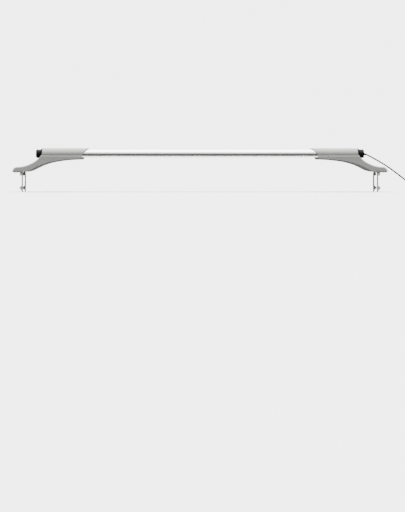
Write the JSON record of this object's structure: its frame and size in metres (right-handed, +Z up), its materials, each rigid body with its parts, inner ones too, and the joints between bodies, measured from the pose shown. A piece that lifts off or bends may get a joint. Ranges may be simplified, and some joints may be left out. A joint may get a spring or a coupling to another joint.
{
  "type": "led aquarium light",
  "caption": "Slim LED light bar with two curved sliding brackets whose feet and spring clips stand on the side walls of a rimless aquarium.",
  "frame": {"origin": "middle of the tank's rim plane, halfway between the two feet, at the height of the feet's undersides", "axes": "+X along the light bar towards the end the power lead leaves from, +Y to the back, +Z up"},
  "size_m": [1.0409, 0.1237, 0.1069],
  "materials": {
    "bar_aluminium": "satin anodised, bright on top",
    "rail_dark": "dark extruded strip",
    "lens_clear": "frosted polycarbonate",
    "board_white": "white solder mask over an aluminium core",
    "tape_blue": "soft heat-conducting tape",
    "led_white": "yellow phosphor in a white case, lit",
    "led_colour": "clear pink lens, lit",
    "chip_black": "black ceramic chip",
    "link_white": "white nylon",
    "wire_red": "red silicone wire",
    "wire_black": "black silicone wire",
    "cap_black": "fine satin moulding",
    "seal_grey": "silicone",
    "screw_steel": "bright stainless",
    "gland_black": "soft black rubber",
    "cord_black": "soft satin PVC",
    "tie_black": "woven strap",
    "plug_black": "ribbed moulding",
    "plug_metal": "nickel plate",
    "plug_core": "yellow insulator",
    "bracket_grey": "grey moulding with a fine spark texture",
    "pad_dark": "dark rubber",
    "clip_smoke": "grey spring plastic"
  },
  "bodies": {
    "light_bar": {"housing_profile": "bar_aluminium", "lens_rails": "rail_dark", "lens_cover": "lens_clear", "led_board_left": "board_white", "led_board_right": "board_white", "thermal_tape": "tape_blue", "white_leds": "led_white", "plant_leds": "led_colour", "board_resistors": "chip_black", "board_link": "link_white", "inner_lead_red": "wire_red", "inner_lead_black": "wire_black", "end_cap_left": "cap_black", "end_cap_right": "cap_black", "end_seal_left": "seal_grey", "end_seal_right": "seal_grey", "cap_screws_left": "screw_steel", "cap_screws_right": "screw_steel", "cable_gland": "gland_black", "power_cord": "cord_black", "cord_coil": "cord_black", "cord_tail": "cord_black", "cord_tie": "tie_black", "plug_body": "plug_black", "plug_barrel": "plug_metal", "plug_insulator": "plug_core"},
    "bracket_left": {"bracket_left": "bracket_grey", "arm_cover_left": "bracket_grey", "cover_screws_left": "screw_steel", "slide_pads_left": "pad_dark", "foot_pad_left": "pad_dark"},
    "rim_clip_left_front": {"rim_clip_left_front": "clip_smoke"},
    "rim_clip_left_rear": {"rim_clip_left_rear": "clip_smoke"},
    "bracket_right": {"bracket_right": "bracket_grey", "arm_cover_right": "bracket_grey", "cover_screws_right": "screw_steel", "slide_pads_right": "pad_dark", "foot_pad_right": "pad_dark"},
    "rim_clip_right_front": {"rim_clip_right_front": "clip_smoke"},
    "rim_clip_right_rear": {"rim_clip_right_rear": "clip_smoke"}
  },
  "joints": [
    {"name": "bracket_left_slide", "type": "slide", "parent": "light_bar", "child": "bracket_left", "axis": [1, 0, 0], "range_m": [0, 0.27]},
    {"name": "rim_clip_left_front_flex", "type": "hinge", "parent": "bracket_left", "child": "rim_clip_left_front", "pos_m": [-0.4356, -0.024, 0.0056], "axis": [0, 1, 0], "range_deg": [-5, 5], "stiffness_Nm_per_rad": 1.5},
    {"name": "rim_clip_left_rear_flex", "type": "hinge", "parent": "bracket_left", "child": "rim_clip_left_rear", "pos_m": [-0.4356, 0.024, 0.0056], "axis": [0, 1, 0], "range_deg": [-5, 5], "stiffness_Nm_per_rad": 1.5},
    {"name": "bracket_right_slide", "type": "slide", "parent": "light_bar", "child": "bracket_right", "axis": [-1, 0, 0], "range_m": [0, 0.27]},
    {"name": "rim_clip_right_front_flex", "type": "hinge", "parent": "bracket_right", "child": "rim_clip_right_front", "pos_m": [0.4356, -0.024, 0.0056], "axis": [0, 1, 0], "range_deg": [-5, 5], "stiffness_Nm_per_rad": 1.5},
    {"name": "rim_clip_right_rear_flex", "type": "hinge", "parent": "bracket_right", "child": "rim_clip_right_rear", "pos_m": [0.4356, 0.024, 0.0056], "axis": [0, 1, 0], "range_deg": [-5, 5], "stiffness_Nm_per_rad": 1.5}
  ]
}
